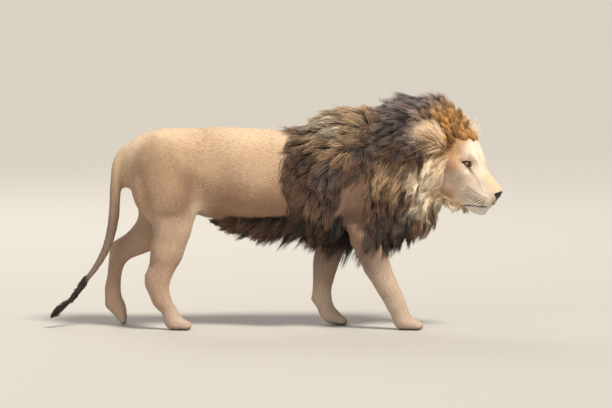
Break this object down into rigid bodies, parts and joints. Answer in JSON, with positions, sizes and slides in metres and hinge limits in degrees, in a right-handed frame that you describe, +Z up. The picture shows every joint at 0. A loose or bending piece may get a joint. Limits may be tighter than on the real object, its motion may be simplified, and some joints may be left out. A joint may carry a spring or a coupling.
{
  "type": "lion",
  "caption": "Life-size still model of an adult male lion in mid stride, head turned a little to its right.",
  "frame": {"origin": "on the floor, under the middle of the lion's box", "axes": "+X the way the lion walks, +Y its left side, +Z up"},
  "size_m": [2.311, 0.452, 1.1891],
  "materials": {
    "coat_body": "short tawny fur",
    "coat_face": "very short pale fur",
    "coat_paws": "short pale fur",
    "coat_mane": "long brown hair, pale gold round the face and dark below",
    "coat_tuft": "long black-brown hair",
    "ears": "short fur with long pale hair inside",
    "eyes": "amber iris, wet clear cornea",
    "nose": "pebbled dark nose leather"
  },
  "bodies": {
    "root": {"rump": "coat_body", "barrel": "coat_body", "chest": "coat_body", "nose": "nose", "head": "coat_face", "eye_right": "eyes", "eye_left": "eyes", "ear_right": "ears", "ear_left": "ears", "mane_head": "coat_mane", "beard": "coat_mane", "mane_neck": "coat_mane", "mane_breast": "coat_mane", "belly_fringe": "coat_mane", "right_foreleg": "coat_body", "right_forepaw": "coat_paws", "left_foreleg": "coat_body", "left_forepaw": "coat_paws", "right_gaskin": "coat_body", "right_hock": "coat_body", "right_hindpaw": "coat_paws", "left_gaskin": "coat_body", "left_hock": "coat_body", "left_hindpaw": "coat_paws", "tail_root": "coat_body", "tail_middle": "coat_body", "tail_end": "coat_body", "tail_tuft": "coat_tuft"}
  },
  "joints": []
}
